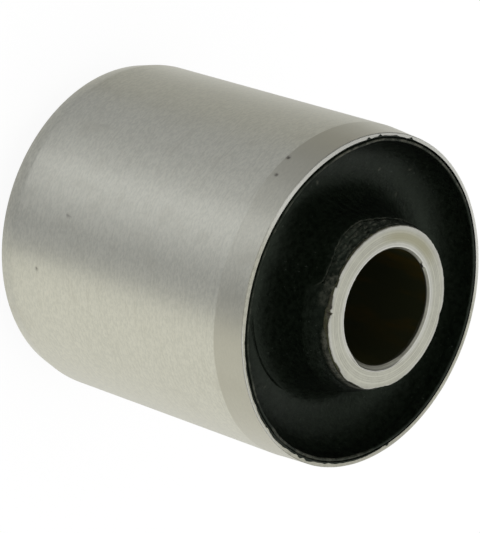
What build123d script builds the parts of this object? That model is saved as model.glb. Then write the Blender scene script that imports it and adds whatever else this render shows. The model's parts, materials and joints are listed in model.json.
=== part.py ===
from build123d import *
import os
from math import copysign, cos, radians, sin

# A bonded rubber bush: a steel outer sleeve, a steel inner sleeve and the rubber ring moulded between
# them. Millimetres. The bush stands on the flat end of its inner sleeve, with its axis along +Z and the
# origin at the centre of that end. Each piece is a ring, so each is one half section turned about Z.
# The points of a half section are (radius, height).

# ---- outer sleeve -------------------------------------------------------------------------------
outer_diameter = 30.0     # ground press-fit diameter
outer_length = 30.5
outer_wall = 1.0
lead_in_length = 2.9      # long shallow taper at the upper end, which enters the housing first
lead_in_drop = 0.28       # what that taper takes off the radius
tail_length = 1.8         # shorter taper at the lower end
tail_drop = 0.38
end_land = 0.32           # width of the bare steel ring at each end
outer_edge_break = 0.06   # broken corner between each taper and that ring

# ---- inner sleeve -------------------------------------------------------------------------------
inner_diameter = 14.4
inner_length = 36.0
bore_diameter = 10.3      # clearance on an M10 bolt
bore_chamfer = 0.2
inner_edge_break = 0.1

# ---- rubber -------------------------------------------------------------------------------------
recess_depth = 3.95       # from the end of the outer sleeve down to the lowest ring of the recess
floor_position = 0.42     # where that lowest ring lies, from the collar (0) to the lip (1)
lip_radius = 0.16         # round bead inside the bare steel ring
groove_width = 0.24       # narrow groove between that ring and the bead, as deep as the bead is round
lip_edge = 0.04           # how far the rubber stops short of the end of the steel
recess_fullness = 2.25    # power of the recess's two curves: 2 is a quarter ellipse, more is squarer
collar_wall = 0.95        # thickness of the rubber that climbs the inner sleeve
collar_setback = 1.15     # from the end of the inner sleeve down to the top of that collar
collar_round = 0.45       # rounding of the collar's top corner
small_round_turn = 45.0   # degrees that each flat of the bead and of the collar's corner turns
recess_turn = 15.0        # degrees that each flat of the recess's two round sides turns

# ---- places that follow from those sizes --------------------------------------------------------
outer_radius = outer_diameter / 2
inner_radius = inner_diameter / 2
bore_radius = bore_diameter / 2
bonded_radius = outer_radius - outer_wall
standing_proud = (inner_length - outer_length) / 2
lower_end = standing_proud
upper_end = standing_proud + outer_length


def at_upper_end(points):
    """Lifts points, given from the end of the outer sleeve at height 0, to its upper end."""
    return [(radius, upper_end + height) for radius, height in points]


def at_lower_end(points):
    """Turns the same kind of points upside down at the lower end of the outer sleeve."""
    return [(radius, lower_end - height) for radius, height in points]


def turned(upper, lower):
    """Turns about Z the section between an upper and a lower end, both given from outside to inside."""
    outline = Polyline(*upper, *reversed(lower), close=True)
    return revolve(Plane.XZ * make_face(outline), Axis.Z)


def full(share, power):
    """Moves a sine or cosine out towards 1, which makes a curve of that power from an ellipse."""
    return copysign(abs(share) ** (2 / power), share)


def arc_points(middle, radii, first, last, turn, power=2):
    """Points along an ellipse, or a squarer curve of a higher power, from one angle to another.

    The angles are in degrees, and each flat turns by about the turn given.
    """
    flats = round(abs(last - first) / turn)
    angles = [radians(first + (last - first) * step / flats) for step in range(flats + 1)]
    shares = [(full(cos(angle), power), full(sin(angle), power)) for angle in angles]
    return [(middle[0] + radii[0] * across, middle[1] + radii[1] * up) for across, up in shares]


def sleeve_end(length, drop):
    """One end of the outer sleeve: taper, broken corner, bare ring and a 45 degree mouth."""
    rim = outer_radius - drop
    land = rim - end_land
    mouth_depth = land - bonded_radius
    return [
        (outer_radius, -length),
        (rim, -outer_edge_break),
        (rim - outer_edge_break, 0),
        (land, 0),
        (bonded_radius, -mouth_depth),
    ]


def rubber_end(drop):
    """One end of the rubber, from the mouth of the outer sleeve in to the inner sleeve.

    A narrow groove runs inside the steel, then the round lip. From there a wide hollow side falls to the
    floor of the recess, and a narrow, steep one climbs from it to the collar on the inner sleeve.
    """
    land = outer_radius - drop - end_land
    mouth_depth = land - bonded_radius
    lip_middle = land - groove_width - lip_radius
    lip_inside = lip_middle - lip_radius
    collar_outside = inner_radius + collar_wall
    collar_top = standing_proud - collar_setback
    collar_side = collar_top - collar_round
    floor_radius = collar_outside + (lip_inside - collar_outside) * floor_position
    lip = arc_points((lip_middle, -lip_radius), (lip_radius, lip_radius), 0, 180, small_round_turn)
    outer_side = arc_points(
        (floor_radius, -lip_radius),
        (lip_inside - floor_radius, recess_depth - lip_radius),
        0,
        -90,
        recess_turn,
        recess_fullness,
    )
    inner_side = arc_points(
        (floor_radius, collar_side),
        (floor_radius - collar_outside, recess_depth + collar_side),
        -90,
        -180,
        recess_turn,
        recess_fullness,
    )
    collar_corner = arc_points(
        (collar_outside - collar_round, collar_side),
        (collar_round, collar_round),
        0,
        90,
        small_round_turn,
    )
    return [
        (bonded_radius, -mouth_depth),
        (land - lip_edge, -lip_edge),
        *lip,
        *outer_side[1:],
        *inner_side[1:],
        *collar_corner[1:],
        (inner_radius, collar_top),
    ]


def outer_sleeve():
    """Thin steel tube, ground outside, with a different taper at each end."""
    upper = at_upper_end(sleeve_end(lead_in_length, lead_in_drop))
    lower = at_lower_end(sleeve_end(tail_length, tail_drop))
    return turned(upper, lower)


def inner_sleeve():
    """Thick steel tube, faced flat at both ends, with its corners broken."""
    lower = [
        (inner_radius, inner_edge_break),
        (inner_radius - inner_edge_break, 0),
        (bore_radius + bore_chamfer, 0),
        (bore_radius, bore_chamfer),
    ]
    upper = [(radius, inner_length - height) for radius, height in lower]
    return turned(upper, lower)


def rubber_body():
    """Rubber ring bonded to both sleeves, with a recess moulded into each end."""
    upper = at_upper_end(rubber_end(lead_in_drop))
    lower = at_lower_end(rubber_end(tail_drop))
    return turned(upper, lower)


os.makedirs("parts", exist_ok=True)
export_step(outer_sleeve(), "parts/outer_sleeve.step")
export_step(inner_sleeve(), "parts/inner_sleeve.step")
export_step(rubber_body(), "parts/rubber_body.step")
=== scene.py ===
"""A bonded rubber bush, stood on end: two steel sleeves and the rubber ring between them.

Sizes are in millimetres and turned into metres where a mesh or the camera is made. Azimuths are in
degrees round +Z, from 0 at the near side (-Y) towards +X.
"""

import json
import logging
import math
from collections.abc import Sequence
from dataclasses import dataclass, field

import bpy
import numpy as np
from mathutils import Matrix, Vector


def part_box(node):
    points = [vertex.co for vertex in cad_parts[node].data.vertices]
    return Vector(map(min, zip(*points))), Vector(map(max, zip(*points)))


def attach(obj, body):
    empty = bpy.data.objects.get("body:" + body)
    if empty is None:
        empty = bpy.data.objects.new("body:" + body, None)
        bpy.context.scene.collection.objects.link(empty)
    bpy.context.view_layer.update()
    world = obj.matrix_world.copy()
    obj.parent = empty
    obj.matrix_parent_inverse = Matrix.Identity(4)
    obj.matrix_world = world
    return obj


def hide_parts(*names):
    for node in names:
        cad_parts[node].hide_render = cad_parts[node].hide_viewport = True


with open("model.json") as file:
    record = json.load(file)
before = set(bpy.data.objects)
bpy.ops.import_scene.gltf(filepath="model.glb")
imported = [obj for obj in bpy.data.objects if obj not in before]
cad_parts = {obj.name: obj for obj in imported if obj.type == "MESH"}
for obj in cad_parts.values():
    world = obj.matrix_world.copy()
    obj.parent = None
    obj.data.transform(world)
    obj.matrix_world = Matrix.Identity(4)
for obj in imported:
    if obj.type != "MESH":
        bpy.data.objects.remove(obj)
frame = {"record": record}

MM = 0.001
ROUND = 640  # points round the axis on each mesh

Colour = tuple[float, float, float]
Stops = tuple[tuple[float, float], ...]
Values = float | np.ndarray
Stretch = tuple[Values, Values, int, str]  # radius and height of its last row, count of rows, label
Arc = tuple[float, float, float]  # start, end and soft edge of a window, in degrees
Part = tuple[float, float, float, float]  # a share, then an arc that it holds for
Socket = bpy.types.NodeSocket

log = logging.getLogger("bush")


def smooth(share: Values) -> Values:
    """Eases a share, so that it leaves 0 and reaches 1 gently."""
    return share * share * (3.0 - 2.0 * share)


def ramp(values: Values, start: Values, end: Values) -> Values:
    """Share that is 0 at start, 1 at end, straight between them and level beyond them."""
    return np.clip((values - start) / (end - start), 0.0, 1.0)


def degrees_from(azimuth: np.ndarray, middle: float) -> np.ndarray:
    """Degrees from one azimuth to others, the short way round."""
    return (azimuth - middle + 180.0) % 360.0 - 180.0


def window(azimuth: np.ndarray, start: float, end: float, soft: float) -> np.ndarray:
    """Share that is 1 between two azimuths and falls to 0 within soft degrees outside them."""
    away = np.abs(degrees_from(azimuth, (start + end) / 2)) - abs(end - start) / 2
    return smooth(np.clip(1.0 - away / soft, 0.0, 1.0))


def windows(azimuth: np.ndarray, *parts: Part) -> np.ndarray:
    """Sum of windows, each times its own share."""
    return sum(share * window(azimuth, *arc) for share, *arc in parts)


def level_between(azimuth: np.ndarray, stops: Stops) -> np.ndarray:
    """Reads a curve given by a few (azimuth, value) stops, joined smoothly.

    Args:
        azimuth: Azimuths in degrees.
        stops: Azimuths from -180 to 180, in order, each with its value.

    Returns:
        The value at each azimuth.
    """
    places, values = np.array(stops).T
    places = np.concatenate([places[-1:] - 360.0, places, places[:1] + 360.0])
    values = np.concatenate([values[-1:], values, values[:1]])
    number = np.clip(np.searchsorted(places, azimuth, side="right") - 1, 0, len(places) - 2)
    share = smooth((azimuth - places[number]) / (places[number + 1] - places[number]))
    return values[number] * (1.0 - share) + values[number + 1] * share


class RoundNoise:
    """Smooth random field on a ring of surface: periodic round the axis, free across it."""

    def __init__(self, seed: int, cells_round: int, cells_across: int) -> None:
        """Draws the field's grid of random values.

        Args:
            seed: Number that fixes the field, so that each run gives the same one.
            cells_round: Cells round the whole ring.
            cells_across: Cells across the ring.
        """
        generator = np.random.default_rng(seed)
        self.values = generator.uniform(-1.0, 1.0, (cells_across + 1, cells_round))

    def at(self, azimuth: np.ndarray, across: Values = 0.0) -> np.ndarray:
        """Reads the field.

        Args:
            azimuth: Azimuths in degrees.
            across: Places across the ring, from 0 to 1.

        Returns:
            Values from -1 to 1.
        """
        rows, columns = self.values.shape
        place_round = (azimuth / 360.0 % 1.0) * columns
        place_across = np.clip(across, 0.0, 1.0) * (rows - 1)
        left = np.floor(place_round).astype(int)
        low = np.minimum(np.floor(place_across).astype(int), rows - 2)
        to_right, to_high = smooth(place_round - left), smooth(place_across - low)
        left, right = left % columns, (left + 1) % columns
        under, over = (
            self.values[row, left] * (1 - to_right) + self.values[row, right] * to_right
            for row in (low, low + 1)
        )
        return under * (1 - to_high) + over * to_high


def place_object(name: str, data: bpy.types.ID) -> bpy.types.Object:
    """Makes an object of a mesh or a camera and links it to the scene.

    Args:
        name: Name of the object.
        data: Its mesh or camera.

    Returns:
        The object.
    """
    placed = bpy.data.objects.new(name, data)
    bpy.context.scene.collection.objects.link(placed)
    return placed


def dress(piece: bpy.types.Object, material: bpy.types.Material) -> None:
    """Gives a piece one finish all over."""
    piece.data.materials.clear()
    piece.data.materials.append(material)


@dataclass
class Surface:
    """Closed ring of surface: rows of points round the axis, and masks for the finish.

    Radii, heights and masks are arrays of rows by azimuths. The last row joins the first.
    """

    azimuth: np.ndarray
    radii: np.ndarray
    heights: np.ndarray
    labels: list[str]
    masks: dict[str, np.ndarray]

    def upper(self) -> np.ndarray:
        """Whether each row lies in the upper half of the piece."""
        height = self.heights[:, 0]
        return height > (height.min() + height.max()) / 2

    def rows(self, *labels: str) -> np.ndarray:
        """Numbers of the rows with these labels, at both ends."""
        return np.flatnonzero(np.isin(self.labels, labels))

    def upper_rows(self, *labels: str) -> np.ndarray:
        """Numbers of the rows with these labels, at the upper end."""
        return np.flatnonzero(np.isin(self.labels, labels) & self.upper())

    def make(self, name: str, sharp_from: float) -> bpy.types.Object:
        """Makes the mesh, with each mask as an attribute.

        Args:
            name: Name of the piece.
            sharp_from: Angle in degrees from which an edge is sharp.

        Returns:
            The new object, in the scene.
        """
        rows, columns = self.radii.shape
        turn = np.radians(self.azimuth)
        places = [self.radii * np.sin(turn), -self.radii * np.cos(turn), self.heights]
        row, column = np.meshgrid(np.arange(rows), np.arange(columns), indexing="ij")
        here, there = row * columns, (row + 1) % rows * columns
        right = (column + 1) % columns
        corners = np.stack([here + column, here + right, there + right, there + column], -1)
        mesh = bpy.data.meshes.new(name)
        points = np.stack(places, -1).reshape(-1, 3) * MM
        mesh.from_pydata(points.tolist(), [], corners.reshape(-1, 4).tolist())
        for mask, values in self.masks.items():
            layer = mesh.attributes.new(mask, "FLOAT", "POINT")
            layer.data.foreach_set("value", values.reshape(-1).astype(np.float32))
        mesh.validate()
        mesh.shade_smooth()
        mesh.set_sharp_from_angle(angle=math.radians(sharp_from))
        return place_object(name, mesh)


def round_azimuths() -> np.ndarray:
    """Azimuth of every point round the axis, in degrees from -180."""
    return np.linspace(-180.0, 180.0, ROUND, endpoint=False)


@dataclass
class Section:
    """Closed half section that may differ round the axis, drawn row by row."""

    azimuth: np.ndarray = field(default_factory=round_azimuths)
    radii: list[np.ndarray] = field(default_factory=list)
    heights: list[np.ndarray] = field(default_factory=list)
    labels: list[str] = field(default_factory=list)

    def add(self, radius: Values, height: Values, label: str) -> None:
        """Adds one row.

        Args:
            radius: Radius, the same all round or one for each azimuth.
            height: Height, in the same way.
            label: Name of the stretch that the row belongs to.
        """
        self.radii.append(np.broadcast_to(radius, self.azimuth.shape).astype(float))
        self.heights.append(np.broadcast_to(height, self.azimuth.shape).astype(float))
        self.labels.append(label)

    def run(self, *stretches: Stretch) -> None:
        """Adds straight stretches, each from the last row so far.

        Args:
            stretches: Radius and height of the last row, count of rows and label of each.
        """
        for radius, height, steps, label in stretches:
            first_radius, first_height = self.radii[-1], self.heights[-1]
            for share in (step / steps for step in range(1, steps + 1)):
                self.add(
                    first_radius + (radius - first_radius) * share,
                    first_height + (height - first_height) * share,
                    label,
                )

    def sweep(
        self,
        middle: tuple[Values, Values],
        radii: tuple[Values, Values],
        angles: tuple[float, float],
        steps: int,
        label: str,
        power: float = 2.0,
    ) -> None:
        """Adds rows along part of an ellipse, after the row already at its first angle.

        Args:
            middle: Radius and height of the ellipse's centre.
            radii: Its half width and half height.
            angles: First and last angle in degrees, from the outward direction towards +Z.
            steps: How many rows.
            label: Name of the stretch.
            power: 2 for an ellipse, more for a squarer curve.
        """
        for step in range(1, steps + 1):
            turn = math.radians(angles[0] + (angles[1] - angles[0]) * step / steps)
            across, up = (
                math.copysign(abs(share) ** (2.0 / power), share)
                for share in (math.cos(turn), math.sin(turn))
            )
            self.add(middle[0] + radii[0] * across, middle[1] + radii[1] * up, label)

    def surface(self, *masks: str) -> Surface:
        """Turns the rows into arrays.

        Args:
            masks: Names of the masks, which are 0 all over.

        Returns:
            The surface.
        """
        radii, heights = np.array(self.radii), np.array(self.heights)
        blank = {name: np.zeros_like(radii) for name in masks}
        return Surface(self.azimuth, radii, heights, self.labels, blank)


class Graph:
    """Adds and links the shader nodes of one material, or of the world."""

    def __init__(self, owner: bpy.types.Material | bpy.types.World) -> None:
        """Empties the owner's node tree.

        Args:
            owner: The material or world.
        """
        self.owner = owner
        owner.use_nodes = True
        self.tree = owner.node_tree
        self.tree.nodes.clear()

    def add(self, kind: str, **settings: object) -> bpy.types.Node:
        """Adds one node.

        Args:
            kind: Its type, such as Math.
            settings: Properties of the node, by name.

        Returns:
            The node.
        """
        node = self.tree.nodes.new("ShaderNode" + kind)
        for name, value in settings.items():
            setattr(node, name, value)
        return node

    def put(self, target: Socket, value: Socket | float | Sequence[float]) -> None:
        """Gives an input another node's output or a constant, such as a colour.

        Args:
            target: The input.
            value: The output or constant.
        """
        if isinstance(value, Socket):
            self.tree.links.new(value, target)
        elif target.type == "RGBA":
            target.default_value = (*value, 1.0)
        else:
            target.default_value = value

    def fill(self, node: bpy.types.Node, **inputs: object) -> Socket:
        """Gives a node's inputs their values.

        Args:
            node: The node.
            inputs: Outputs or constants by the input's name, with _ for each space.

        Returns:
            The node's first output.
        """
        for name, value in inputs.items():
            self.put(node.inputs[name.replace("_", " ")], value)
        return node.outputs[0]

    def join(self, kind: str, *values: object, **settings: object) -> Socket:
        """Adds a node and gives its first inputs their values.

        Args:
            kind: Its type, such as Math.
            values: Outputs or constants, in the order of the inputs.
            settings: Properties of the node, by name.

        Returns:
            The node's first output.
        """
        node = self.add(kind, **settings)
        for target, value in zip(node.inputs, values):
            self.put(target, value)
        return node.outputs[0]

    def place(self, stretch: tuple[float, float, float] = (1.0, 1.0, 1.0)) -> Socket:
        """Reads the place on the piece in millimetres.

        Args:
            stretch: Factors on the three axes.

        Returns:
            The place, times the factors.
        """
        factors = [factor / MM for factor in stretch]
        place = self.add("TexCoord").outputs["Object"]
        return self.join("VectorMath", place, factors, operation="MULTIPLY")

    def radius(self) -> Socket:
        """Distance from the axis in millimetres."""
        flat = self.join("VectorMath", self.place((1.0, 1.0, 0.0)), operation="LENGTH")
        return flat.node.outputs["Value"]

    def maths(self, operation: str, first: Socket | float, second: Socket | float) -> Socket:
        """One Math node's result."""
        return self.join("Math", first, second, operation=operation)

    def noise(
        self,
        scale: float,
        detail: float = 2.0,
        rough: float = 0.5,
        stretch: tuple[float, float, float] = (1.0, 1.0, 1.0),
        warp: float = 0.0,
    ) -> Socket:
        """Noise from 0 to 1 all through the piece.

        Args:
            scale: Cells a millimetre.
            detail: Count of finer layers.
            rough: Strength of each finer layer beside the one before.
            stretch: Factors on the scale along the three axes.
            warp: How much it is warped.

        Returns:
            The noise.
        """
        return self.fill(
            self.add("TexNoise"),
            Vector=self.place(stretch),
            Scale=scale,
            Detail=detail,
            Roughness=rough,
            Distortion=warp,
        )

    def fade(
        self, value: Socket, start: float, end: float, low: float = 0.0, high: float = 1.0
    ) -> Socket:
        """Turns a value between start and end smoothly into one between low and high."""
        node = self.add("MapRange", interpolation_type="SMOOTHSTEP", clamp=True)
        return self.fill(node, Value=value, From_Min=start, From_Max=end, To_Min=low, To_Max=high)

    def blend(self, share: Socket, first: Socket | Colour, second: Socket | Colour) -> Socket:
        """Mixes two colours.

        Args:
            share: Share of the second.
            first: The first.
            second: The second.

        Returns:
            The mixture.
        """
        node = self.add("Mix", data_type="RGBA", clamp_factor=True)
        for number, value in ((0, share), (6, first), (7, second)):
            self.put(node.inputs[number], value)
        return node.outputs[2]

    def bump(self, height: Socket, depth: float, under: Socket | None = None) -> Socket:
        """Normal of a raised surface.

        Args:
            height: Height from 0 to 1.
            depth: Millimetres that a height of 1 stands for.
            under: Normal of the surface under it.

        Returns:
            The normal.
        """
        node = self.add("Bump")
        if under is not None:
            self.put(node.inputs["Normal"], under)
        return self.fill(node, Strength=1.0, Distance=depth * MM, Height=height)

    def attribute(self, name: str, output: str = "Fac") -> Socket:
        """Value or colour of a mesh attribute."""
        return self.add("Attribute", attribute_name=name).outputs[output]

    def seen(self) -> Socket:
        """Tells what is seen from what only lights.

        Returns:
            Share that is 1 for what the camera, a mirror or clear glass sees.
        """
        path = self.add("LightPath").outputs
        share = self.maths("MAXIMUM", path["Is Camera Ray"], path["Is Glossy Ray"])
        return self.maths("MAXIMUM", share, path["Is Transmission Ray"])

    def finish(self, shader: Socket) -> bpy.types.Material | bpy.types.World:
        """Ends the graph.

        Args:
            shader: Output of the last shader.

        Returns:
            The finished material or world.
        """
        kind = "OutputWorld" if isinstance(self.owner, bpy.types.World) else "OutputMaterial"
        self.put(self.add(kind).inputs["Surface"], shader)
        return self.owner


@dataclass(frozen=True)
class GroundSteel:
    """Mild steel ground round the axis: fine speckle, short streaks, soft mottling, small pits."""

    light: Colour = (0.65, 0.64, 0.535)
    dull: Colour = (0.53, 0.525, 0.435)
    stained: Colour = (0.42, 0.405, 0.32)
    # Paler colour, painted on as a highlight on the upper end's bare ring and corner.
    bare: Colour = (0.91, 0.91, 0.84)
    pitted: Colour = (0.13, 0.12, 0.10)
    roughness: float = 0.34
    directional: float = 0.75
    streak_depth: float = 0.0025
    speckle_depth: float = 0.0030

    def material(self) -> bpy.types.Material:
        """Builds the finish.

        Returns:
            The material.
        """
        graph = Graph(bpy.data.materials.new("ground_steel"))
        mottle = graph.noise(0.42, 3.0, 0.5, (1.0, 1.0, 0.7), 0.3)
        speckle = graph.noise(2.3, 3.0, 0.7, (1.0, 1.0, 1.9))
        streaks = graph.noise(1.2, 4.0, 0.7, (0.22, 0.22, 5.0))
        base = graph.blend(graph.fade(speckle, 0.34, 0.66), self.dull, self.light)
        base = graph.blend(graph.fade(streaks, 0.50, 0.72, 0.0, 0.34), base, self.stained)
        base = graph.blend(graph.fade(mottle, 0.55, 0.80, 0.0, 0.25), base, self.stained)
        # The bare mask paints a highlight on the upper end; stain and pit are the steel's own
        # marks.
        for mask, colour in (("stain", self.stained), ("bare", self.bare), ("pit", self.pitted)):
            base = graph.blend(graph.attribute(mask), base, colour)
        shader = graph.fill(
            graph.add("BsdfPrincipled"),
            Base_Color=base,
            Metallic=1.0,
            Roughness=graph.fade(speckle, 0.3, 0.7, self.roughness - 0.03, self.roughness + 0.05),
            Anisotropic=self.directional,
            Anisotropic_Rotation=0.25,
            Tangent=graph.join("Tangent", direction_type="RADIAL", axis="Z"),
            Normal=graph.bump(speckle, self.speckle_depth, graph.bump(streaks, self.streak_depth)),
        )
        return graph.finish(shader)


@dataclass(frozen=True)
class TurnedSteel:
    """Steel tube faced on a lathe: bright end rings, a dark side and a dark, unworked bore."""

    bright: Colour = (0.74, 0.74, 0.63)
    dull: Colour = (0.455, 0.45, 0.37)
    stained: Colour = (0.52, 0.50, 0.34)
    polished: Colour = (0.92, 0.92, 0.86)
    bore: Colour = (0.080, 0.088, 0.040)
    rust: Colour = (0.15, 0.105, 0.020)
    side: Colour = (0.050, 0.044, 0.030)
    roughness: float = 0.32
    bore_roughness: float = 0.35
    ring_depth: float = 0.010
    grain_depth: float = 0.004

    def material(self) -> bpy.types.Material:
        """Builds the finish.

        Returns:
            The material.
        """
        graph = Graph(bpy.data.materials.new("turned_steel"))
        rings = graph.add("TexNoise", noise_dimensions="1D")
        ring = graph.fill(rings, W=graph.radius(), Scale=3.2, Detail=4.0, Roughness=0.7)
        mottle = graph.noise(0.8, 4.0, 0.6)
        grain = graph.noise(3.4, 3.0, 0.7)
        cloud = graph.noise(0.45, 3.0, 0.6, (1.0, 1.0, 0.25))
        base = graph.blend(graph.fade(ring, 0.36, 0.64), self.dull, self.bright)
        base = graph.blend(graph.fade(mottle, 0.35, 0.75, 0.10, 0.60), base, self.bright)
        base = graph.blend(graph.fade(grain, 0.50, 0.75, 0.0, 0.35), base, self.dull)
        base = graph.blend(graph.attribute("stain"), base, self.stained)
        base = graph.blend(graph.attribute("edge"), base, self.polished)
        rusted = graph.maths("MULTIPLY", graph.fade(cloud, 0.40, 0.66), graph.attribute("rust"))
        dark, side = graph.attribute("dark"), graph.attribute("side")
        base = graph.blend(dark, base, graph.blend(rusted, self.bore, self.rust))
        skin = graph.blend(graph.fade(grain, 0.4, 0.65), self.side, self.bore)
        gloss = graph.fade(ring, 0.3, 0.7, self.roughness, self.roughness + 0.08)
        duller = graph.maths("MULTIPLY", dark, self.bore_roughness)
        shader = graph.fill(
            graph.add("BsdfPrincipled"),
            Base_Color=graph.blend(side, base, skin),
            Metallic=graph.maths("SUBTRACT", 1.0, side),
            Roughness=graph.maths("ADD", gloss, duller),
            Normal=graph.bump(grain, self.grain_depth, graph.bump(ring, self.ring_depth)),
        )
        return graph.finish(shader)


@dataclass(frozen=True)
class MouldedRubber:
    """Black rubber from a mould: faint grain, dust specks, browner film where torn, painted bead
    highlight.
    """

    black: Colour = (0.0022, 0.0044, 0.0017)
    bloom: Colour = (0.0074, 0.0110, 0.0066)
    # Colour of the browner film, also used for the painted highlight along the upper bead's crown.
    film: Colour = (0.085, 0.082, 0.063)
    dust: Colour = (0.070, 0.080, 0.068)
    roughness: float = 0.38
    shine: float = 0.24
    shine_tint: Colour = (0.84, 1.0, 0.81)
    wave_depth: float = 0.045
    grain_depth: float = 0.045
    torn_depth: float = 0.10

    def material(self) -> bpy.types.Material:
        """Builds the finish.

        Returns:
            The material.
        """
        graph = Graph(bpy.data.materials.new("black_rubber"))
        grain = graph.noise(2.4, 4.0, 0.65)
        cloud = graph.noise(0.6, 3.0)
        specks = graph.noise(4.5, 1.0, 0.4)
        waves = graph.noise(1.3, 2.0, 0.6)
        rough = graph.maths("MULTIPLY", graph.noise(2.6, 4.0, 0.7), graph.attribute("torn"))
        base = graph.blend(graph.fade(grain, 0.35, 0.65), self.black, self.bloom)
        base = graph.blend(graph.fade(specks, 0.70, 0.80, 0.0, 0.4), base, self.dust)
        patchy = graph.fade(grain, 0.36, 0.60, 0.10, 1.0)
        # The film mask holds real film and the painted highlight on the upper bead.
        film = graph.maths("MULTIPLY", graph.attribute("film"), patchy)
        normal = graph.bump(grain, self.grain_depth, graph.bump(waves, self.wave_depth))
        shader = graph.fill(
            graph.add("BsdfPrincipled"),
            Base_Color=graph.blend(film, base, self.film),
            Roughness=graph.fade(cloud, 0.3, 0.7, self.roughness - 0.02, self.roughness + 0.06),
            Specular_IOR_Level=self.shine,
            Specular_Tint=self.shine_tint,
            Normal=graph.bump(rough, self.torn_depth, normal),
        )
        return graph.finish(shader)


@dataclass(frozen=True)
class Mark:
    """A small pit, speck or crumb at one place of a ring of surface."""

    azimuth: float
    place: float
    size: float
    depth: float

    def share(
        self, azimuth: np.ndarray, across: Values, radius: float, rise: Values = 0.0
    ) -> np.ndarray:
        """Reads the mark's strength.

        Args:
            azimuth: Azimuth of each point in degrees.
            across: Each point's height or radius, which the mark's place is given in.
            radius: Distance of the mark from the axis.
            rise: How far each point lies above or below the mark.

        Returns:
            Values that fall from 1 at the mark's middle to 0.
        """
        turn = np.radians(degrees_from(azimuth, self.azimuth)) * radius
        away = np.sqrt(turn**2 + (across - self.place) ** 2 + rise**2)
        return np.exp(-((away / self.size) ** 2))


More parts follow.
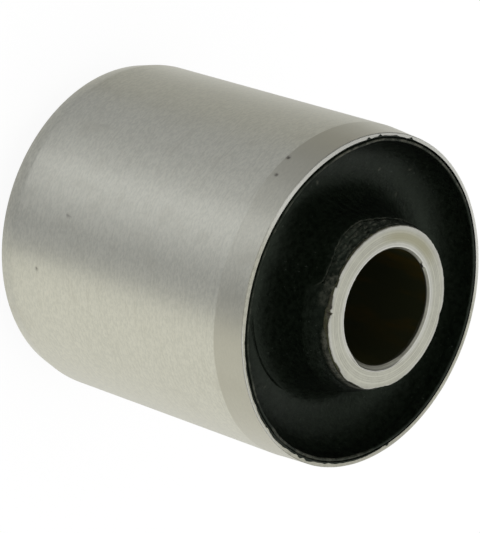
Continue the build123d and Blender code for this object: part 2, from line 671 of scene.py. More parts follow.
@dataclass
class OuterSleeve:
    """Thin ground tube with a long lead-in taper above and a shorter one below."""

    outer_radius: float
    lower_end: float
    upper_end: float
    wall: float = 1.0
    lead_in_drop: float = 0.28
    tail_length: float = 1.8
    tail_drop: float = 0.38
    end_land: float = 0.32
    edge_break: float = 0.06
    mouth_wall: float = 0.25
    mouth_lean: float = 0.03
    rim_waver: float = 0.010
    # Height over the lower end up to which the rows lie close, for the small pits there.
    close_rows_to: float = 8.0
    # Arcs that the upper end's bare ring and corner carry a painted highlight on.
    highlight_left: Arc = (-150.0, -25.0, 25.0)
    highlight_right: Arc = (27.0, 68.0, 10.0)
    pits: tuple[Mark, ...] = (
        Mark(-39.2, -2.88, 0.17, 0.10),
        Mark(-31.3, -2.52, 0.15, 0.08),
        Mark(3.5, -22.4, 0.13, 0.05),
        Mark(24.3, -25.4, 0.12, 0.05),
    )
    # Length of the upper taper, which was ground slightly out of square.
    lead_in: Stops = (
        (-150.0, 3.0), (-60.0, 3.05), (-28.0, 3.07), (-15.0, 2.78), (10.0, 2.9), (40.0, 3.17),
        (75.0, 3.6), (130.0, 3.3),
    )
    # Stain on that taper.
    stain: Stops = (
        (-100.0, 0.1), (-80.0, 0.25), (-65.0, 0.6), (-55.0, 0.8), (-45.0, 0.75), (-35.0, 0.6),
        (-25.0, 0.3), (-5.0, 0.12), (5.0, 0.12), (15.0, 0.35), (25.0, 0.62), (50.0, 0.62),
        (75.0, 0.38), (120.0, 0.3),
    )
    # How much larger the upper end's outer corner is than its nominal radius.
    rim: Stops = ((-130.0, -0.03), (-40.0, 0.0), (20.0, 0.0), (95.0, 0.12), (160.0, 0.12))
    # How much wider the upper end's bare ring is than its nominal width.
    land_excess: Stops = (
        (-165.0, 0.04), (-150.0, 0.06), (-130.0, 0.02), (-105.0, 0.02), (-75.0, 0.01),
        (-60.0, 0.06), (-45.0, 0.11), (15.0, 0.12), (28.0, 0.03), (60.0, 0.0), (120.0, 0.0),
        (145.0, -0.04), (172.0, -0.02),
    )

    def bonded(self) -> float:
        """Radius of the face that the rubber is bonded to."""
        return self.outer_radius - self.wall

    def plain_land(self, drop: float) -> float:
        """Nominal inner radius of the bare ring, at the end whose taper drops by this much."""
        return self.outer_radius - drop - self.end_land

    def land(self, azimuth: np.ndarray) -> np.ndarray:
        """Inner radius of the upper end's bare ring."""
        return self.plain_land(self.lead_in_drop) - level_between(azimuth, self.land_excess)

    def make(self) -> bpy.types.Object:
        """Builds the tube.

        Returns:
            The piece, undressed.
        """
        section = Section()
        azimuth = section.azimuth
        radius, low, high = self.outer_radius, self.lower_end, self.upper_end
        edge, wall, lean = self.edge_break, self.mouth_wall, self.mouth_lean
        bonded = self.bonded()
        low_rim, low_land = radius - self.tail_drop, self.plain_land(self.tail_drop)
        high_rim = radius - self.lead_in_drop + level_between(azimuth, self.rim)
        high_rim += self.rim_waver * RoundNoise(11, 90, 4).at(azimuth, 0.3)
        high_land = self.land(azimuth)
        tail, lead = low + self.tail_length, high - level_between(azimuth, self.lead_in)
        section.add(bonded, low + low_land - bonded + wall, "mouth")
        section.run(
            (low_land - lean, low + wall, 2, "mouth"),
            (low_land, low, 1, "mouth"),
            (low_rim - edge, low, 3, "land"),
            (low_rim, low + edge, 2, "edge"),
            (radius - 0.02, tail - 0.12, 8, "tail"),
            (radius, tail + 0.06, 3, "tail"),
            (radius, low + self.close_rows_to, 34, "ground"),
            (radius, lead - 0.6, 26, "ground"),
            (radius, lead - 0.05, 6, "ground"),
            (radius - 0.010, lead + 0.06, 2, "lead"),
            (radius - 0.036, lead + 0.36, 4, "lead"),
            (high_rim, high - edge, 20, "lead"),
            (high_rim - edge, high, 2, "edge"),
            (high_land, high, 4, "land"),
            (high_land - lean, high - wall, 1, "mouth"),
            (bonded, high - wall - (high_land - bonded), 2, "mouth"),
        )
        surface = section.surface("stain", "bare", "pit")
        masks = surface.masks
        rows = surface.rows("ground", "lead", "tail")
        for mark in self.pits:
            share = mark.share(azimuth, surface.heights[rows] - high, radius)
            surface.radii[rows] -= mark.depth * share
            masks["pit"][rows] = np.maximum(masks["pit"][rows], np.minimum(1.0, 1.2 * share))
        masks["stain"][surface.rows("lead")] = level_between(azimuth, self.stain)
        # Painted highlight: the upper bare ring and its corner are made paler on two arcs.
        for label, near in (("land", 0.05), ("edge", 1.0)):
            worn = windows(azimuth, (0.95, *self.highlight_left), (near, *self.highlight_right))
            masks["bare"][surface.upper_rows(label)] = worn
        return surface.make("outer_sleeve_turned", 25.0)


@dataclass
class InnerSleeve:
    """Thick tube faced at both ends, with a few nicks in its upper edges."""

    outer_radius: float
    bore_radius: float
    length: float
    edge_break: float = 0.1
    bore_chamfer: float = 0.2
    bright_mouth: float = 0.5
    ledge_width: float = 0.20
    burr_height: float = 0.12
    nick_waver: float = 0.018
    burr_waver: float = 0.012
    # Arcs of the burr, the worn ledge, the mouth bright farthest in, the rust, the stain and the
    # unpolished borders of the face.
    burr_arc: Arc = (-124.0, -120.5, 1.5)
    ledge_arc: Arc = (82.0, 120.0, 22.0)
    bright_arc: Arc = (70.0, 170.0, 30.0)
    rust_arc: Arc = (-180.0, -110.0, 40.0)
    stain_arc: Arc = (-112.0, -75.0, 25.0)
    dull_arc: Arc = (75.0, 125.0, 20.0)
    # Radius of the stain's middle, and the radii that each polished border fades in between.
    stain_radius: float = 6.25
    outer_border: tuple[float, float] = (6.75, 7.05)
    inner_border: tuple[float, float] = (5.85, 5.60)
    # How far the upper face's outer edge is knocked in.
    dents: Stops = (
        (-180.0, 0.05), (-173.0, 0.16), (-165.0, 0.0), (-100.0, -0.03), (-60.0, 0.0),
        (-20.0, 0.02), (-9.0, 0.04), (-7.5, 0.15), (-3.0, 0.20), (-2.0, 0.0), (3.0, 0.02),
        (5.0, 0.11), (9.0, 0.17), (12.0, 0.25), (13.5, 0.08), (15.0, 0.14), (16.2, 0.42),
        (17.5, 0.20), (20.0, 0.06), (24.0, 0.0), (52.0, 0.02), (56.0, 0.14), (60.0, 0.14),
        (64.0, 0.04), (72.0, -0.02), (80.0, 0.09), (86.0, 0.09), (92.0, 0.01), (100.0, 0.05),
        (106.0, 0.13), (114.0, 0.12), (121.0, 0.02),
    )

    def make(self) -> bpy.types.Object:
        """Builds the tube, with a burr and a worn ledge just inside the bore's upper mouth.

        Returns:
            The piece, undressed.
        """
        section = Section()
        azimuth = section.azimuth
        outer, bore, top = self.outer_radius, self.bore_radius, self.length
        edge, mouth = self.edge_break, self.bore_chamfer
        dent = level_between(azimuth, self.dents)
        dent += self.nick_waver * RoundNoise(21, 150, 2).at(azimuth)
        burr = self.burr_height * window(azimuth, *self.burr_arc)
        burr += self.burr_waver * RoundNoise(22, 170, 2).at(azimuth)
        ledge = self.ledge_width * window(azimuth, *self.ledge_arc)
        rim = bore + mouth + ledge
        section.add(bore, mouth, "bore")
        section.run(
            (bore + mouth, 0.0, 2, "mouth"),
            (outer - edge, 0.0, 8, "face"),
            (outer, edge, 2, "edge"),
            (outer, top - 2.0, 6, "side"),
            (outer - 0.35 * dent, top - 0.45, 6, "side"),
            (outer - dent, top - 0.7 * edge, 5, "side"),
            (outer - 0.7 * edge - dent, top, 3, "edge"),
            (rim + 0.09, top, 26, "face"),
            (rim - burr, top - 0.01, 2, "lip"),
            (bore + 0.9 * mouth + 0.6 * ledge - burr, top - 0.03 - 0.45 * ledge, 2, "mouth"),
            (bore + 0.02, top - mouth - 0.6 * ledge, 3, "mouth"),
            (bore, top - mouth - 0.08 - ledge, 1, "mouth"),
            (bore, top - 1.4, 14, "bore"),
            (bore, mouth + 1.0, 24, "bore"),
        )
        surface = section.surface("edge", "dark", "stain", "side", "rust")
        masks = surface.masks
        masks["edge"][surface.rows("lip")] = 0.75
        masks["edge"][surface.rows("edge")] = 0.5
        masks["side"][surface.rows("side")] = 1.0
        rows = surface.rows("bore")
        from_end = np.minimum(surface.heights[rows], top - surface.heights[rows])
        reach = self.bright_mouth + 0.05 * RoundNoise(23, 60, 2).at(azimuth)
        reach -= 0.35 * (1.0 - window(azimuth, *self.bright_arc))
        masks["dark"][rows] = ramp(from_end, 0.2, np.maximum(reach, 0.25))
        masks["rust"][rows] = 0.15 + 0.85 * window(azimuth, *self.rust_arc)
        face = surface.rows("face")
        radii = surface.radii[face]
        band = ramp(np.abs(radii - self.stain_radius), 0.63, 0.18)
        masks["stain"][face] = 0.8 * window(azimuth, *self.stain_arc) * band
        borders = ramp(radii, *self.outer_border) + ramp(radii, *self.inner_border)
        masks["edge"][face] = 0.50 * borders * (1.0 - 0.9 * window(azimuth, *self.dull_arc))
        return surface.make("inner_sleeve_turned", 25.0)


@dataclass
class RubberRing:
    """Rubber moulded between the sleeves: groove, bead, hollow and collar at each end.

    The upper end's collar was torn off along part of its round, and the lower one's is whole.
    """

    outer: OuterSleeve
    inner: InnerSleeve
    recess_depth: float = 3.95
    floor_position: float = 0.42
    fullness: float = 2.25
    bead_radius: float = 0.16
    groove_width: float = 0.24
    collar_wall: float = 0.95
    collar_setback: float = 1.15
    collar_round: float = 0.45
    clearance: float = 0.015
    thin_wall: float = 0.05
    crumb_radius: float = 14.4
    crease_radius: float = 9.72
    crease_depth: float = 0.07
    crease_width: float = 0.05
    fine_lump: float = 0.05
    coarse_lump: float = 0.06
    ridge_lump: float = 0.045
    torn_climb: float = 1.01
    whole_climb: float = 1.38
    hug_climb: float = 0.25
    flash_step: float = 0.36
    flash_fall: float = 0.06
    # Arcs of the crease, the torn collar, its roughness, the flash, the rubber that hugs the
    # sleeve, the film smeared there and the widest painted highlight on the bead.
    crease_arc: Arc = (30.0, 72.0, 7.0)
    torn_arc: Arc = (-122.0, -4.0, 8.0)
    rough_arc: Arc = (-122.0, -2.0, 8.0)
    flash_arc: Arc = (33.0, 108.0, 8.0)
    hug_arc: Arc = (-3.0, 10.0, 5.0)
    smear_arc: Arc = (-6.0, 10.0, 4.0)
    wide_highlight_arc: Arc = (68.0, 116.0, 8.0)
    bead_rows: int = 13
    hollow_rows: int = 26
    collar_rows: int = 21
    # The lower end has this share of those rows, and all round the form of this azimuth, where the
    # upper collar is whole.
    lower_detail: float = 0.2
    whole_azimuth: float = 150.0
    crumbs: tuple[Mark, ...] = (
        Mark(-66.0, 14.45, 0.16, 0.20),
        Mark(-71.5, 14.45, 0.20, 0.26),
        Mark(-87.5, 14.45, 0.18, 0.22),
        Mark(61.0, 14.5, 0.20, 0.20),
        Mark(67.0, 14.5, 0.25, 0.24),
        Mark(73.0, 14.5, 0.22, 0.22),
        Mark(128.0, 14.4, 0.16, 0.20),
    )
    specks: tuple[Mark, ...] = (
        Mark(-95.5, 11.26, 0.13, 0.05),
        Mark(-114.0, 10.66, 0.14, 0.05),
        Mark(-54.4, 10.27, 0.12, 0.04),
        Mark(-109.0, 12.8, 0.12, 0.05),
        Mark(-175.0, 13.1, 0.14, 0.06),
        Mark(66.0, 10.6, 0.10, 0.04),
    )
    # Stretches of the slope up from the floor: first and last angle, and count of rows.
    slope_rows: tuple[tuple[float, float, int], ...] = (
        (90.0, 104.0, 5), (104.0, 110.0, 8), (110.0, 180.0, 20),
    )
    # Rows of the collar's ridge: how far in from its edge, and the rise where torn and where whole.
    ridge_rows: tuple[tuple[float, float, float], ...] = (
        (0.03, 0.04, 0.06), (0.09, 0.08, 0.20), (0.15, 0.04, 0.34),
    )
    # Where the upper groove is narrower, and by how much.
    narrower: tuple[Part, ...] = (
        (0.12, -125.0, -72.0, 10.0), (0.10, 50.0, 60.0, 10.0), (0.18, 70.0, 235.0, 10.0),
    )
    # Where the crown of the upper bead carries a painted highlight, and how much.
    bead_highlight: tuple[Part, ...] = (
        (1.05, -125.0, -42.0, 8.0), (0.35, -32.0, 30.0, 8.0), (0.55, 38.0, 50.0, 6.0),
        (0.55, 68.0, 116.0, 8.0),
    )
    # How far a film of rubber reaches over the upper bare ring.
    reach: Stops = (
        (-95.0, 0.0), (-88.0, 0.05), (-80.0, 0.09), (-72.0, 0.08), (-66.0, 0.0), (-60.0, 0.0),
        (22.0, 0.0), (28.0, 0.06), (45.0, 0.07), (55.0, 0.12), (66.0, 0.18), (76.0, 0.17),
        (90.0, 0.17), (105.0, 0.13), (118.0, 0.08), (130.0, 0.0), (180.0, 0.0),
    )
    # How far the collar's outer edge bulges out.
    bulge: Stops = (
        (-125.0, -0.45), (-80.0, -0.47), (-69.0, -0.40), (-61.0, -0.20), (-54.0, 0.10),
        (-48.0, 0.29), (-40.0, 0.37), (-32.0, 0.32), (-26.0, 0.12), (-20.0, -0.16),
        (-14.0, -0.42), (-8.0, -0.5), (4.0, -0.2), (120.0, -0.1),
    )

    def cover(self, azimuth: np.ndarray) -> np.ndarray:
        """Works out how far the rubber, jagged and with crumbs, reaches over the upper bare ring.

        Args:
            azimuth: Azimuths in degrees.

        Returns:
            Distances out from the ring's inner edge.
        """
        reach = level_between(azimuth, self.reach)
        reach *= 1.0 + 0.55 * RoundNoise(31, 190, 2).at(azimuth)
        for crumb in self.crumbs:
            share = crumb.share(azimuth, crumb.place, self.crumb_radius)
            reach = np.maximum(reach, crumb.depth * share)
        return reach

    def groove(self, azimuth: np.ndarray) -> np.ndarray:
        """Width of the groove beside the upper bare ring."""
        narrowed = [windows(azimuth, part) for part in self.narrower]
        return self.groove_width - np.max(narrowed, axis=0)

    def torn_round(self, azimuth: np.ndarray) -> np.ndarray:
        """Share, round the axis, that the collar was torn off with a ridge round it."""
        return window(azimuth, *self.torn_arc)

    def flash_round(self, azimuth: np.ndarray) -> np.ndarray:
        """Share, round the axis, that a ring of flash stands by the inner sleeve."""
        return window(azimuth, *self.flash_arc)

    def collar(self, azimuth: np.ndarray, share: float) -> np.ndarray:
        """Height of the collar over its outer edge, which differs round the sleeve.

        Args:
            azimuth: Azimuths in degrees.
            share: Place between the outer edge, at 0, and the inner sleeve, at 1.

        Returns:
            Heights over the outer edge.
        """
        torn = self.torn_round(azimuth)
        hug = window(azimuth, *self.hug_arc) * smooth(ramp(share, 0.90, 0.995))
        flash = self.flash_step * smooth(ramp(share, 0.62, 0.74))
        flash -= self.flash_fall * smooth(ramp(share, 0.90, 0.98))
        height = (0.04 + self.torn_climb * share**0.9) * torn
        whole = 0.34 + self.whole_climb * share + self.hug_climb * hug
        height += whole * np.clip(1.0 - torn, 0.0, 1.0)
        return height + flash * self.flash_round(azimuth)

    def end(
        self,
        section: Section,
        level: float,
        way: float,
        land: Values,
        cover: Values,
        detail: float,
    ) -> None:
        """Adds one end's rows, from its foot in the steel mouth in to the inner sleeve.

        Args:
            section: Section to add to.
            level: Height of the outer sleeve's end.
            way: 1 at the upper end and -1 at the lower end.
            land: Inner radius of the bare steel ring.
            cover: How far the rubber reaches over the bare ring.
            detail: Share of the full count of rows.
        """

        def rows(count: int, least: int = 2) -> int:
            """Count of rows at this end's level of detail."""
            return max(least, round(count * detail))

        bead, wall, sleeve = self.bead_radius, self.outer.mouth_wall, self.inner.outer_radius
        bonded = self.outer.bonded() - self.clearance
        drop = self.outer.lead_in_drop if way > 0 else self.outer.tail_drop
        nominal = self.outer.plain_land(drop)
        groove = self.groove(section.azimuth) if way > 0 else self.groove_width
        slack = groove / self.groove_width
        bead_middle = land - groove - bead
        bead_level = level - way * bead
        bead_inside = nominal - self.groove_width - 2.0 * bead
        collar_outside = sleeve + self.collar_wall
        collar_top = self.outer.lower_end - self.collar_setback
        floor_radius = collar_outside + (bead_inside - collar_outside) * self.floor_position
        whole = np.full_like(section.azimuth, self.whole_azimuth)
        azimuth = section.azimuth if way > 0 else whole
        torn = self.torn_round(azimuth)
        plain = 1.0 - torn
        ridge = collar_outside - 0.05 + level_between(azimuth, self.bulge)
        edge = ridge + 0.05 * torn * RoundNoise(55, 46, 2).at(azimuth)
        foot = collar_top - 0.10 - 1.05 * plain
        side = np.minimum(collar_top - self.collar_round, foot - 0.12)
        over = ramp(cover, 0.0, 0.04)
        section.run(
            (bonded, level - way * (wall + nominal - bonded + 0.05), 2, "foot"),
            (land - 0.06, level - way * (wall + 0.03), 2, "foot"),
            (land - 0.02, level - way * 0.04, 1, "foot"),
            (land - 0.022 + cover * over, level + way * (0.045 * over - 0.03), 1, "skin"),
            (land - 0.024 + 0.9 * cover * over, level + way * (0.090 * over - 0.05), 1, "skin"),
            (land - 0.027, level + way * (0.110 * over - 0.08), 1, "skin"),
            (land - 0.030 * slack - 0.005, level - way * 0.13, 1, "skin"),
            (land - 0.075 * slack - 0.005, level - way * 0.21, 1, "groove"),
            (land - 0.12 * slack - 0.005, level - way * 0.25, 1, "groove"),
            (bead_middle + bead, level - way * 0.22, 1, "groove"),
        )
        count = rows(self.bead_rows, 6)
        section.sweep((bead_middle, bead_level), (bead, bead), (0.0, way * 180.0), count, "bead")
        section.sweep(
            (floor_radius, bead_level),
            (bead_middle - bead - floor_radius, self.recess_depth - bead),
            (0.0, way * -90.0),
            rows(self.hollow_rows),
            "hollow",
            self.fullness,
        )
        for first, last, count in self.slope_rows:
            section.sweep(
                (floor_radius, level + way * side),
                (floor_radius - ridge - 0.03, self.recess_depth + side),
                (way * -first, way * -last),
                rows(count),
                "slope",
                self.fullness,
            )
        section.run((edge, level + way * (foot - 0.04), 2, "collar"))
        for inward, torn_rise, plain_rise in self.ridge_rows:
            rise = foot + torn_rise * torn + plain_rise * plain
            section.run((edge - inward, level + way * rise, 1, "ridge"))
        first, last = section.radii[-1], sleeve + 0.012
        count = rows(self.collar_rows)
        for number in range(1, count + 1):
            share = 1.0 - (1.0 - number / count) ** 1.7
            height = level + way * (foot + self.collar(azimuth, share))
            section.add(first + (last - first) * share, height, "torn")
        section.run((sleeve - 0.03, section.heights[-1] - way * 0.05, 1, "film"))

    def make(self) -> bpy.types.Object:
        """Builds the ring.

        Returns:
            The piece, undressed.
        """
        section, lower = Section(), Section()
        outer, inner = self.outer, self.inner
        middle = (outer.lower_end + outer.upper_end) / 2
        bonded = outer.bonded() - self.clearance
        land, cover = outer.land(section.azimuth), self.cover(section.azimuth)
        low_land = outer.plain_land(outer.tail_drop)
        section.add(bonded, middle, "foot")
        self.end(section, outer.upper_end, 1.0, land, cover, 1.0)
        section.run((inner.outer_radius + self.clearance, middle, 2, "foot"))
        lower.add(bonded, middle, "foot")
        self.end(lower, outer.lower_end, -1.0, low_land, 0.0, self.lower_detail)
        for row in list(zip(lower.radii, lower.heights, lower.labels))[:0:-1]:
            section.add(*row)
        surface = section.surface("film", "torn")
        self.crease(surface)
        self.tear(surface)
        self.paint_bead_highlight(surface)
        self.speckle(surface)
        return surface.make("rubber_ring_moulded", 40.0)

    def crease(self, surface: Surface) -> None:
        """Keeps the upper hollow inside the steel and folds a crease along its slope.

        Args:
            surface: Surface to change.
        """
        hollow, slope = surface.upper_rows("hollow"), surface.upper_rows("slope")
        outer = self.outer
        depth = outer.upper_end - surface.heights[hollow]
        mouth = outer.plain_land(outer.lead_in_drop) - outer.bonded()
        foot = outer.mouth_wall + mouth - outer.mouth_lean
        steel = outer.bonded() + np.clip(foot - depth, 0.0, mouth)
        surface.radii[hollow] = np.minimum(surface.radii[hollow], steel - self.thin_wall)
        away = (surface.radii[slope] - self.crease_radius) / self.crease_width
        share = np.exp(-(away**2)) * window(surface.azimuth, *self.crease_arc)
        surface.heights[slope] -= self.crease_depth * share

    def tear(self, surface: Surface) -> None:
        """Makes the collars lumpy, ridges the torn one and spreads browner film on it.

        Args:
            surface: Surface to change.
        """
        azimuth, radii, heights = surface.azimuth, surface.radii, surface.heights
        upper = surface.upper()[:, None]
        torn_round = self.torn_round(azimuth)
        across = np.clip((radii - self.inner.outer_radius) / self.collar_wall, 0.0, 1.0)
        fine = RoundNoise(51, 300, 14).at(azimuth[None, :], across)
        coarse = RoundNoise(52, 110, 5).at(azimuth[None, :], across)
        waves = np.sin(2.0 * np.pi * (3.2 * across + 0.35 * coarse))
        lumps = self.fine_lump * fine + self.coarse_lump * coarse
        lumps += self.ridge_lump * waves * torn_round * upper
        share = np.zeros_like(radii)
        share[surface.rows("torn")] = 1.0
        share[surface.rows("ridge")] = 0.35
        share *= 0.25 + 0.75 * window(azimuth, *self.rough_arc) * upper
        heights += lumps * share * np.where(upper, 1.0, -1.0)
        radii += np.minimum(0.4 * lumps, 0.03) * share * (across > 0.1)
        surface.masks["torn"] += share

        film = surface.masks["film"]
        torn, ridge = surface.upper_rows("torn"), surface.upper_rows("ridge")
        over = heights[torn] - self.outer.upper_end
        crest = ramp(waves[torn], 0.35, 0.95) * np.clip(0.65 + fine[torn], 0.15, 1.0)
        film[torn] = torn_round * (0.05 + 0.55 * crest)
        film[torn] += 0.30 * window(azimuth, *self.smear_arc) * ramp(across[torn], 0.34, 0.26)
        film[torn] += 0.80 * self.flash_round(azimuth) * ramp(over, 2.02, 2.14)
        film[ridge] = 0.30 * torn_round * np.clip(0.6 + coarse[ridge], 0.1, 1.0)

    def paint_bead_highlight(self, surface: Surface) -> None:
        """Paints a broken highlight line, in the paler film's colour, along the crown of the upper
        bead.

        Args:
            surface: Surface to change.
        """
        azimuth, bead = surface.azimuth, surface.upper_rows("bead")
        broken = 0.85 + 0.7 * RoundNoise(53, 200, 2).at(azimuth)
        lit = windows(azimuth, *self.bead_highlight)
        spread = 0.045 + 0.09 * window(azimuth, *self.wide_highlight_arc)
        over = surface.heights[bead] - self.outer.upper_end
        crown = np.clip((over + spread) / 0.03, 0.0, 1.0)
        # The film mask here is a painted highlight on the bead's crown, not film.
        surface.masks["film"][bead] = np.clip(lit * broken, 0.0, 1.0) * crown

    def speckle(self, surface: Surface) -> None:
        """Raises the specks in the upper hollow, in the paler film's colour.

        Args:
            surface: Surface to change.
        """
        radii, heights, film = surface.radii, surface.heights, surface.masks["film"]
        rows = surface.upper_rows("hollow", "slope")
        for speck in self.specks:
            column = np.argmin(np.abs(surface.azimuth - speck.azimuth))
            row = rows[np.argmin(np.abs(radii[rows, column] - speck.place))]
            rise = heights[rows] - heights[row, column]
            share = speck.share(surface.azimuth, radii[rows], speck.place, rise)
            heights[rows] += speck.depth * share
            film[rows] = np.maximum(film[rows], share)


@dataclass(frozen=True)
class Studio:
    """White table, light tent and camera."""

    floor_half: float = 600.0
    floor_glow: float = 0.93
    floor_grey: Colour = (0.10, 0.10, 0.10)
    floor_white: Colour = (0.9, 0.9, 0.9)
    soft_light: float = 0.8
    tent_radius: float = 300.0
    overhead_glow: float = 1.25
    # Radius that the table's strips start at, their height, and how far off each of them ends.
    foot: float = 15.3
    strip_height: float = 0.3
    strip_reach: tuple[float, ...] = (0.0, 2.2, 4.6, 40.0, 60.0, 300.0)
    strip_tint: Colour = (-0.03, -0.01, 0.08)
    strip_tint_arc: Arc = (-38.0, 12.0, 14.0)
    # Arcs of the tent behind the bush and where it is dimmer, which starts some way up.
    behind_arc: Arc = (163.0, 187.0, 25.0)
    dim_arc: Arc = (-180.0, -150.0, 18.0)
    dim_rise: tuple[float, float] = (40.0, 54.0)
    dimming: float = 0.6
    overhead_rise: tuple[float, float] = (57.0, 70.0)
    elevation: float = 42.5
    roll: float = 107.94
    lens: float = 251.2
    sensor: float = 36.0
    distance: float = 319.1
    aim_right: float = 10.64
    aim_down: float = 2.91
    target: tuple[float, float, float] = (0.0, 0.0, 33.25)
    # Glow of the table in front of the bush, farther off and by its foot.
    table: Stops = (
        (-90.0, 0.97), (-75.0, 0.83), (-60.0, 0.58), (-45.0, 0.53), (-30.0, 0.59), (-20.0, 0.72),
        (-12.0, 0.96), (-5.0, 0.88), (2.0, 0.70), (9.0, 0.56), (15.0, 0.60), (18.5, 0.66),
        (22.5, 0.96), (30.0, 1.03), (60.0, 1.0), (74.0, 0.95), (80.0, 0.86), (90.0, 0.80),
    )
    near_table: Stops = (
        (-90.0, 0.92), (-75.0, 0.80), (-60.0, 0.55), (-45.0, 0.45), (10.0, 0.44), (20.0, 0.64),
        (30.0, 0.82), (60.0, 0.92), (90.0, 0.85),
    )
    # Glow of the tent round the axis, and its share from the table up.
    tent_round: Stops = (
        (-180.0, 0.72), (-165.0, 0.50), (-150.0, 0.32), (-130.0, 0.26), (-110.0, 0.24),
        (-85.0, 0.15), (-50.0, 0.36), (0.0, 0.30), (60.0, 0.32), (90.0, 0.40), (110.0, 0.60),
        (130.0, 0.62), (150.0, 0.74), (171.0, 0.84),
    )
    tent_rise: Stops = (
        (0.0, 0.15), (10.0, 0.35), (20.0, 0.60), (30.0, 0.90), (40.0, 1.0), (60.0, 1.12),
    )

    def floor(self) -> None:
        """Builds the white table under the bush, which keeps the bush's soft shadow."""
        half = self.floor_half * MM
        mesh = bpy.data.meshes.new("floor")
        corners = [(-half, -half, 0), (half, -half, 0), (half, half, 0), (-half, half, 0)]
        mesh.from_pydata(corners, [], [(0, 1, 2, 3)])
        floor = place_object("floor", mesh)
        graph = Graph(bpy.data.materials.new("pale_floor"))
        glow = graph.fill(graph.add("Emission"), Strength=self.floor_glow)
        grey = graph.fill(graph.add("BsdfDiffuse"), Color=self.floor_grey)
        white = graph.fill(graph.add("BsdfDiffuse"), Color=self.floor_white)
        shown = graph.join("AddShader", glow, grey)
        dress(floor, graph.finish(graph.join("MixShader", graph.seen(), white, shown)))

    def world(self) -> None:
        """Lights the bush softly from all round, against a white background."""
        graph = Graph(bpy.data.worlds.new("studio"))
        light, white = (
            graph.fill(graph.add("Background"), Color=(1.0, 1.0, 1.0), Strength=strength)
            for strength in (self.soft_light, 1.0)
        )
        bpy.context.scene.world = graph.finish(graph.join("MixShader", graph.seen(), light, white))

    def sheet(self, name: str, places: np.ndarray, colours: np.ndarray) -> None:
        """Adds a glowing sheet that only shows in reflections.

        Args:
            name: Name of the sheet.
            places: Points of its grid in millimetres, rows by columns by 3.
            colours: Colour that it glows with at each point.
        """
        rows, columns = places.shape[:2]
        first = [row * columns + column for row in range(rows - 1) for column in range(columns - 1)]
        corners = [(point, point + 1, point + columns + 1, point + columns) for point in first]
        mesh = bpy.data.meshes.new(name)
        mesh.from_pydata((places.reshape(-1, 3) * MM).tolist(), [], corners)
        layer = mesh.attributes.new("glow", "FLOAT_COLOR", "POINT")
        opaque = np.concatenate([colours, np.ones((rows, columns, 1))], -1)
        layer.data.foreach_set("color", opaque.reshape(-1).astype(np.float32))
        sheet = place_object(name, mesh)
        for ray in ("camera", "diffuse", "transmission", "volume_scatter", "shadow"):
            setattr(sheet, f"visible_{ray}", False)
        graph = Graph(bpy.data.materials.new(name))
        dress(sheet, graph.finish(graph.join("Emission", graph.attribute("glow", "Color"))))

    def table_sheet(self) -> None:
        """Adds the paler and darker strips of the table that the ground sleeve mirrors."""
        azimuth = np.linspace(-90.0, 90.0, 181)
        reach = np.array(self.strip_reach)[:, None]
        near, far = np.radians(azimuth), np.radians(2.0 * azimuth)
        body, foot = level_between(azimuth, self.table), level_between(azimuth, self.near_table)
        along = self.foot * np.sin(near) + reach * np.sin(far)
        out = -self.foot * np.cos(near) - reach * np.cos(far)
        places = np.stack([along, out, np.full_like(along, self.strip_height)], -1)
        level = np.stack([foot * 0.9, foot, body, body, 1.02 * body, 1.02 * body])
        cool = 1.0 + window(azimuth, *self.strip_tint_arc)[:, None] * np.array(self.strip_tint)
        self.sheet("table_glow", places, level[:, :, None] * cool[None])

    def tent(self) -> None:
        """Adds the tent over the table, brightest behind the bush and overhead."""
        azimuth = np.linspace(-180.0, 180.0, 91)
        rise = np.linspace(0.0, 90.0, 46)[:, None]
        turn, up = np.radians(azimuth), np.radians(rise)
        across, high = np.cos(up), np.sin(up) * np.ones_like(turn)
        way = np.stack([across * np.sin(turn), -across * np.cos(turn), high], -1)
        low = np.interp(rise, *np.array(self.tent_rise).T)
        behind = window(azimuth, *self.behind_arc)
        overhead = smooth(ramp(rise, *self.overhead_rise))
        dim = window(azimuth, *self.dim_arc) * ramp(rise, *self.dim_rise)
        level = level_between(azimuth, self.tent_round) * (low + (1.0 - low) * behind)
        level *= 1.0 - self.dimming * dim
        level = level * (1.0 - overhead) + self.overhead_glow * overhead
        self.sheet("tent", way * self.tent_radius, level[:, :, None] * np.ones(3))

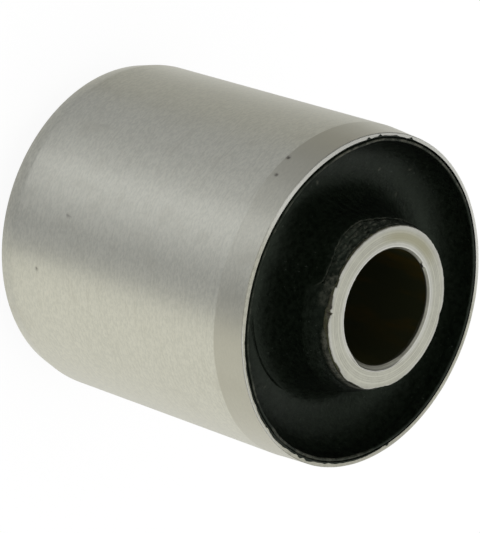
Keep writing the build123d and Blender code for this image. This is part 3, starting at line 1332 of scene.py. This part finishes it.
    def camera(self) -> None:
        """Places the camera."""
        tilt, roll = math.radians(90.0 - self.elevation), math.radians(self.roll)
        forward = Vector((0.0, math.sin(tilt), -math.cos(tilt)))
        level_right = Vector((1.0, 0.0, 0.0))
        level_up = Vector((0.0, math.cos(tilt), math.sin(tilt)))
        right = math.cos(roll) * level_right + math.sin(roll) * level_up
        up = -math.sin(roll) * level_right + math.cos(roll) * level_up
        place = Vector(self.target) - self.aim_right * right + self.aim_down * up
        place -= self.distance * forward
        lens = bpy.data.cameras.new("camera")
        lens.lens, lens.sensor_width = self.lens, self.sensor
        lens.clip_start, lens.clip_end = 0.01, 5.0
        camera = place_object("camera", lens)
        turn = Matrix((right, up, -forward)).transposed()
        camera.matrix_world = Matrix.Translation(place * MM) @ turn.to_4x4()
        bpy.context.scene.camera = camera

    def build(self) -> None:
        """Sets up the table, the light and the camera."""
        self.floor()
        self.world()
        self.table_sheet()
        self.tent()
        self.camera()
        bpy.context.scene.view_settings.view_transform = "Standard"


def main() -> None:
    """Builds the studio and the three pieces of the bush."""
    logging.basicConfig(level=logging.INFO, format="%(name)s: %(message)s")
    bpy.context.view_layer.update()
    Studio().build()
    low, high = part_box("outer_sleeve")
    outer = OuterSleeve(outer_radius=high[0] / MM, lower_end=low[2] / MM, upper_end=high[2] / MM)
    inner_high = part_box("inner_sleeve")[1]
    bore = next(mount for mount in frame["record"]["mounts"] if mount["name"] == "bolt_bore")
    inner = InnerSleeve(
        outer_radius=inner_high[0] / MM, bore_radius=bore["dims"]["r_mm"], length=inner_high[2] / MM
    )
    rubber = RubberRing(outer, inner)
    for maker, finish, node, slot in (
        (outer, GroundSteel(), "outer_sleeve", "ground_steel"),
        (inner, TurnedSteel(), "inner_sleeve", "turned_steel"),
        (rubber, MouldedRubber(), "rubber_body", "black_rubber"),
    ):
        piece = maker.make()
        dress(piece, finish.material())
        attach(piece, "root")
        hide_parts(node)
        log.info("%s: %d faces", piece.name, len(piece.data.polygons))


if __name__ == "__main__":
    main()
